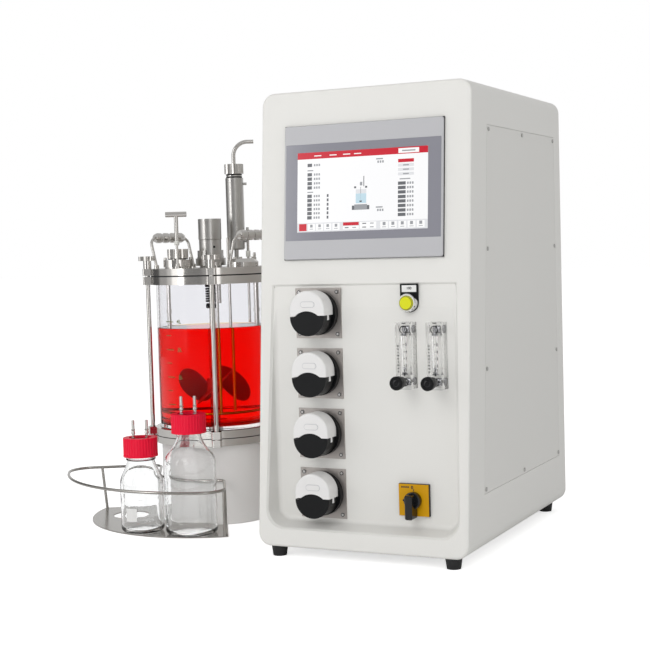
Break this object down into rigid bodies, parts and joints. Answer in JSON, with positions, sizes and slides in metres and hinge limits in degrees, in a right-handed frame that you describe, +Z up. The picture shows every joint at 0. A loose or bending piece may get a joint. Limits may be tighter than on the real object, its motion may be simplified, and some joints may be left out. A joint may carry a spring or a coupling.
{
  "type": "bench bioreactor",
  "caption": "Bench bioreactor: leaning-front control cabinet with touch display, pumps and flow meters, a stirred glass vessel on a round base, and a wire-railed bottle rack.",
  "frame": {"origin": "centre of the vessel base's underside, on the bench", "axes": "+Z up; +X to the operator's right along the cabinet's front; +Y away from the operator"},
  "size_m": [0.875, 0.574, 0.742],
  "materials": {
    "addition_port": "fine brushed",
    "agitator_cap": "fine brushed",
    "agitator_housing": "fine brushed",
    "agitator_shaft": "fine brushed",
    "bottle_cap_large": "crimson polypropylene",
    "bottle_cap_small": "crimson polypropylene",
    "bottle_rack": "polished wire and rolled plate",
    "bottles": "clear borosilicate",
    "bottom_plate": "fine brushed",
    "bottom_ring": "fine brushed",
    "button_bezel": "polished",
    "button_legend": "fine grain black",
    "button_lens": "translucent yellow",
    "cabinet_feet": "matte",
    "cabinet_screws": "plain",
    "cabinet_shell": "fine textured powder coat",
    "cap_connectors": "fine brushed",
    "clamp_nuts": "fine brushed",
    "condenser": "fine brushed",
    "condenser_cap": "fine brushed",
    "display_glass": "dark touch glass",
    "display_housing": "smooth satin",
    "electronics": "plain",
    "flow_blocks": "clear acrylic",
    "flow_float_1": "black",
    "flow_float_2": "black",
    "flow_knob_1": "fine grain black",
    "flow_knob_2": "fine grain black",
    "gaskets": "matte",
    "glass_vessel": "clear borosilicate",
    "head_plate": "fine brushed",
    "impeller": "fine brushed",
    "inlet_port": "fine brushed",
    "lift_handles": "fine brushed",
    "port_cap": "fine brushed",
    "power_inlet": "fine grain black",
    "probes": "fine brushed",
    "pump_bodies": "fine grain black",
    "pump_cover_1": "satin white",
    "pump_cover_2": "satin white",
    "pump_cover_3": "satin white",
    "pump_cover_4": "satin white",
    "pump_motors": "plain",
    "pump_plates": "fine brushed",
    "pump_rotor_1": "satin",
    "pump_rotor_2": "satin",
    "pump_rotor_3": "satin",
    "pump_rotor_4": "satin",
    "rear_fittings": "polished",
    "rear_panel": "fine textured powder coat",
    "sampler_handle": "fine brushed",
    "sampler_valve": "fine brushed",
    "side_panel": "fine textured powder coat",
    "sparger": "fine brushed",
    "switch_body": "fine grain black",
    "switch_knob": "fine grain black",
    "switch_plate": "printed ochre",
    "tie_rods": "fine brushed",
    "upper_flange": "fine brushed",
    "vessel_base": "pearl satin"
  },
  "bodies": {
    "unit": {"addition_port": "addition_port", "agitator_cap": "agitator_cap", "agitator_housing": "agitator_housing", "bottle_rack": "bottle_rack", "bottles": "bottles", "bottom_plate": "bottom_plate", "bottom_ring": "bottom_ring", "button_bezel": "button_bezel", "button_legend": "button_legend", "cabinet_feet": "cabinet_feet", "cabinet_screws": "cabinet_screws", "cabinet_shell": "cabinet_shell", "cap_connectors": "cap_connectors", "clamp_nuts": "clamp_nuts", "condenser": "condenser", "condenser_cap": "condenser_cap", "display_glass": "display_glass", "display_housing": "display_housing", "electronics": "electronics", "flow_blocks": "flow_blocks", "gaskets": "gaskets", "glass_vessel": "glass_vessel", "head_plate": "head_plate", "inlet_port": "inlet_port", "lift_handles": "lift_handles", "power_inlet": "power_inlet", "probes": "probes", "pump_bodies": "pump_bodies", "pump_motors": "pump_motors", "pump_plates": "pump_plates", "rear_fittings": "rear_fittings", "rear_panel": "rear_panel", "sampler_valve": "sampler_valve", "side_panel": "side_panel", "sparger": "sparger", "switch_body": "switch_body", "switch_plate": "switch_plate", "tie_rods": "tie_rods", "upper_flange": "upper_flange", "vessel_base": "vessel_base"},
    "cover_1": {"pump_cover_1": "pump_cover_1"},
    "rotor_1": {"pump_rotor_1": "pump_rotor_1"},
    "cover_2": {"pump_cover_2": "pump_cover_2"},
    "rotor_2": {"pump_rotor_2": "pump_rotor_2"},
    "cover_3": {"pump_cover_3": "pump_cover_3"},
    "rotor_3": {"pump_rotor_3": "pump_rotor_3"},
    "cover_4": {"pump_cover_4": "pump_cover_4"},
    "rotor_4": {"pump_rotor_4": "pump_rotor_4"},
    "lens": {"button_lens": "button_lens"},
    "float_1": {"flow_float_1": "flow_float_1"},
    "valve_1": {"flow_knob_1": "flow_knob_1"},
    "float_2": {"flow_float_2": "flow_float_2"},
    "valve_2": {"flow_knob_2": "flow_knob_2"},
    "switch": {"switch_knob": "switch_knob"},
    "stirrer": {"agitator_shaft": "agitator_shaft", "impeller": "impeller"},
    "sampler": {"sampler_handle": "sampler_handle"},
    "port_lid": {"port_cap": "port_cap"},
    "small_cap": {"bottle_cap_small": "bottle_cap_small"},
    "large_cap": {"bottle_cap_large": "bottle_cap_large"}
  },
  "joints": [
    {"name": "cover_1_hinge", "type": "hinge", "parent": "unit", "child": "cover_1", "pos_m": [0.3132, -0.2695, 0.3899], "axis": [0, -1, 0], "range_deg": [0, 90]},
    {"name": "rotor_1_spin", "type": "hinge", "parent": "unit", "child": "rotor_1", "pos_m": [0.3391, -0.2695, 0.3842], "axis": [0, 1, 0], "continuous": true},
    {"name": "cover_2_hinge", "type": "hinge", "parent": "unit", "child": "cover_2", "pos_m": [0.3132, -0.2695, 0.2941], "axis": [0, -1, 0], "range_deg": [0, 90]},
    {"name": "rotor_2_spin", "type": "hinge", "parent": "unit", "child": "rotor_2", "pos_m": [0.3391, -0.2695, 0.2884], "axis": [0, 1, 0], "continuous": true},
    {"name": "cover_3_hinge", "type": "hinge", "parent": "unit", "child": "cover_3", "pos_m": [0.3132, -0.2695, 0.1983], "axis": [0, -1, 0], "range_deg": [0, 90]},
    {"name": "rotor_3_spin", "type": "hinge", "parent": "unit", "child": "rotor_3", "pos_m": [0.3391, -0.2695, 0.1926], "axis": [0, 1, 0], "continuous": true},
    {"name": "cover_4_hinge", "type": "hinge", "parent": "unit", "child": "cover_4", "pos_m": [0.3132, -0.2695, 0.1025], "axis": [0, -1, 0], "range_deg": [0, 90]},
    {"name": "rotor_4_spin", "type": "hinge", "parent": "unit", "child": "rotor_4", "pos_m": [0.3391, -0.2695, 0.0968], "axis": [0, 1, 0], "continuous": true},
    {"name": "lens_press", "type": "slide", "parent": "unit", "child": "lens", "axis": [0, 1, 0], "range_m": [0, 0.003], "stiffness_N_per_m": 600, "springref_m": -0.001},
    {"name": "float_1_rise", "type": "slide", "parent": "unit", "child": "float_1", "axis": [0, 0, 1], "range_m": [0, 0.046]},
    {"name": "valve_1_turn", "type": "hinge", "parent": "unit", "child": "valve_1", "pos_m": [0.4933, -0.2745, 0.285], "axis": [0, -1, 0], "range_deg": [0, 1440]},
    {"name": "float_2_rise", "type": "slide", "parent": "unit", "child": "float_2", "axis": [0, 0, 1], "range_m": [0, 0.046]},
    {"name": "valve_2_turn", "type": "hinge", "parent": "unit", "child": "valve_2", "pos_m": [0.5435, -0.2745, 0.285], "axis": [0, -1, 0], "range_deg": [0, 1440]},
    {"name": "switch_turn", "type": "hinge", "parent": "unit", "child": "switch", "pos_m": [0.4962, -0.2595, 0.099], "axis": [0, -1, 0], "range_deg": [0, 90]},
    {"name": "stirrer_spin", "type": "hinge", "parent": "unit", "child": "stirrer", "pos_m": [0, 0, 0.4], "axis": [0, 0, 1], "continuous": true},
    {"name": "sampler_turn", "type": "hinge", "parent": "unit", "child": "sampler", "pos_m": [-0.01679, -0.0887, 0.5], "axis": [0, 0, 1], "range_deg": [0, 180]},
    {"name": "port_lid_turn", "type": "hinge", "parent": "unit", "child": "port_lid", "pos_m": [-0.0398, -0.04979, 0.485], "axis": [0, 0, 1], "range_deg": [0, 720]},
    {"name": "small_cap_turn", "type": "hinge", "parent": "unit", "child": "small_cap", "pos_m": [-0.05214, -0.17606, 0.15], "axis": [0, 0, 1], "range_deg": [0, 540]},
    {"name": "large_cap_turn", "type": "hinge", "parent": "unit", "child": "large_cap", "pos_m": [0.04319, -0.16732, 0.195], "axis": [0, 0, 1], "range_deg": [0, 540]}
  ]
}
